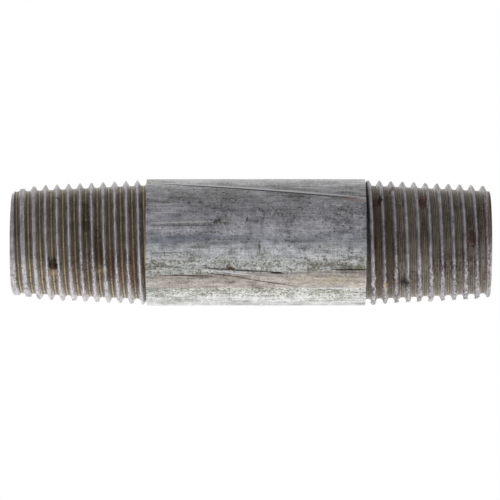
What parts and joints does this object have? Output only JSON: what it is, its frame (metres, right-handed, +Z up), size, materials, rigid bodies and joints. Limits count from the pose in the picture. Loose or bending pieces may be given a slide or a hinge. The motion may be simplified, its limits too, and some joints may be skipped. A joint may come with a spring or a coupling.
{
  "type": "threaded pipe nipple",
  "caption": "Short galvanised steel pipe nipple with a right-hand taper pipe thread at each end, a plain middle and an open bore, for joining threaded pipe fittings.",
  "frame": {"origin": "middle of the pipe's axis, half way between the two end faces", "axes": "+X along the pipe towards the end with the shorter thread, +Z up as the nipple lies on its side, +Y away from the viewer"},
  "size_m": [0.039, 0.0104, 0.0104],
  "materials": {
    "galvanised_steel": "weathered hot-dip zinc on the plain stretch and in the bore, bright cut steel with dark oil and rust specks in the threads"
  },
  "bodies": {
    "root": {"pipe_nipple": "galvanised_steel"}
  },
  "joints": []
}
